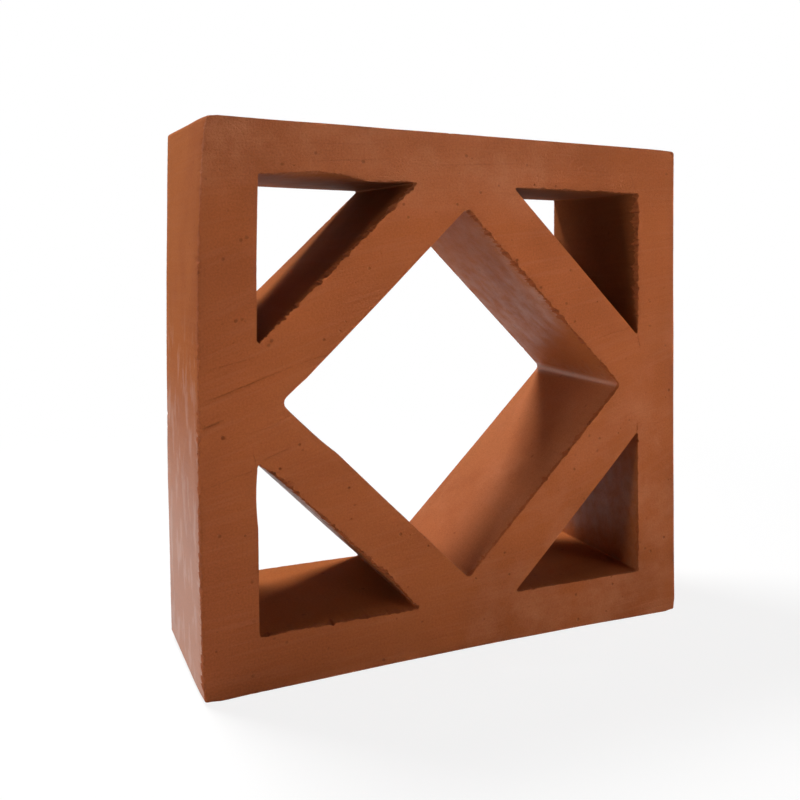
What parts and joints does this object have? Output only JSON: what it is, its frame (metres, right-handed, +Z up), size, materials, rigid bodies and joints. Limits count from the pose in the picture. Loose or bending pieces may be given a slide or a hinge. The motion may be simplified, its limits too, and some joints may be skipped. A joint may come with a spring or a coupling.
{
  "type": "terracotta breeze block",
  "caption": "Square fired clay screen block, wire-cut to depth, with a diamond opening and triangular corner openings that let air and light through a wall.",
  "frame": {"origin": "middle of the lower bed face, on the ground, halfway through the depth", "axes": "+X to the right across the face as seen from the front, +Y from the front face to the back face along the openings, +Z up"},
  "size_m": [0.2, 0.07, 0.2],
  "materials": {
    "terracotta": "unglazed fired clay, matte wire-cut faces and slightly burnished die-formed sides"
  },
  "bodies": {
    "root": {"breeze_block": "terracotta"}
  },
  "joints": []
}
